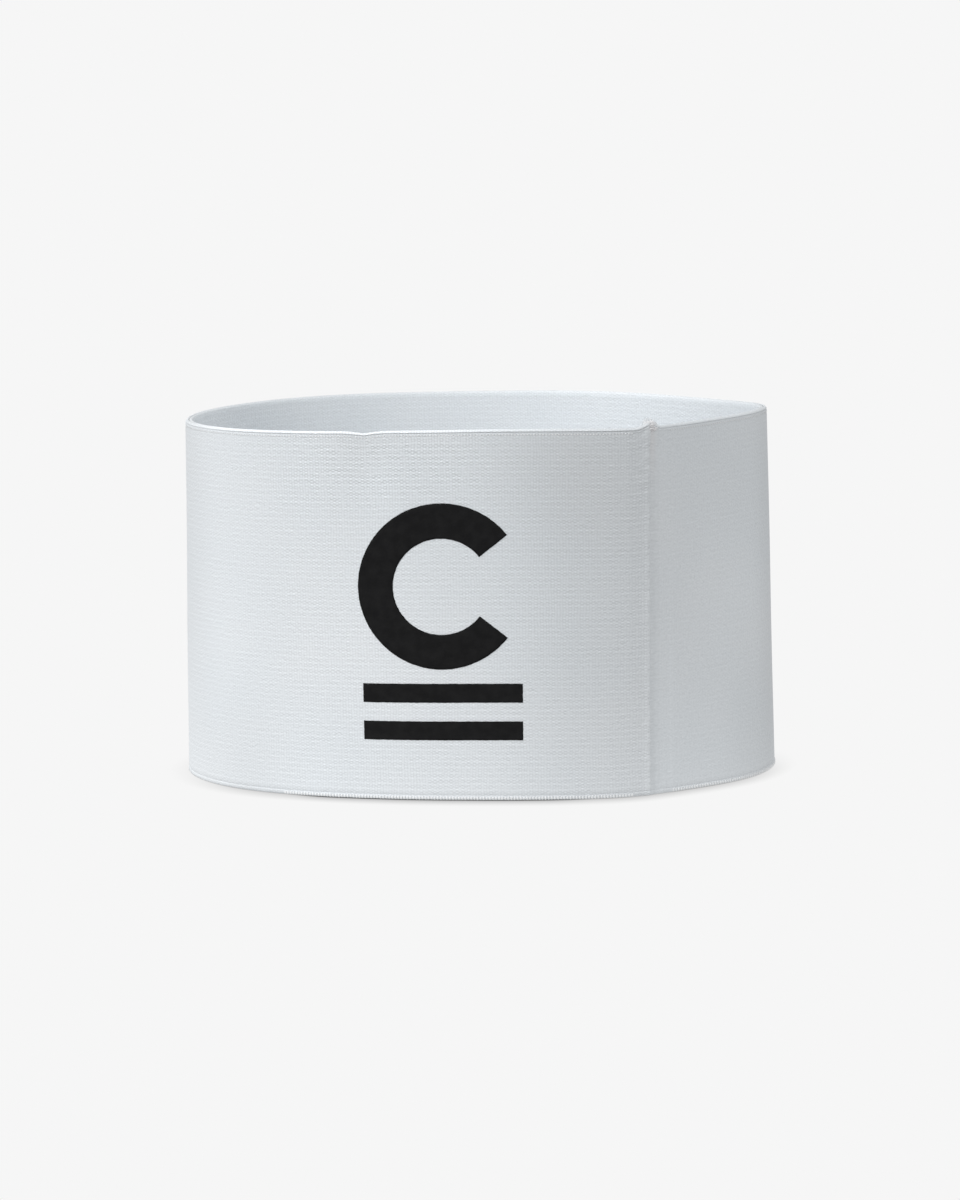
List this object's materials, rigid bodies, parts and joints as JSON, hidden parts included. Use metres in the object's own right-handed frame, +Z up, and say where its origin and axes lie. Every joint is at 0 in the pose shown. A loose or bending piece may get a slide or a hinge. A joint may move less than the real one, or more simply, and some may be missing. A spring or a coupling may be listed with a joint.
{
  "type": "captain armband",
  "caption": "Loop of white elastic webbing that stands on its edge, sewn end to end, with a printed letter C and plain bars on the front.",
  "frame": {"origin": "the middle of the loop's box, at the level of the edge that it stands on", "axes": "+X along the loop's width, to the right of someone who faces the print; +Y from the front to the back; +Z up, through the arm's opening"},
  "size_m": [0.1154, 0.0689, 0.0712],
  "materials": {
    "webbing": "white woven elastic webbing, matte",
    "thread": "white sewing thread",
    "print": "black printed ink, matte"
  },
  "bodies": {
    "root": {"elastic_band": "webbing", "seam_overlock": "thread", "captain_mark": "print", "mark_bar_upper": "print", "mark_bar_lower": "print"}
  },
  "joints": []
}
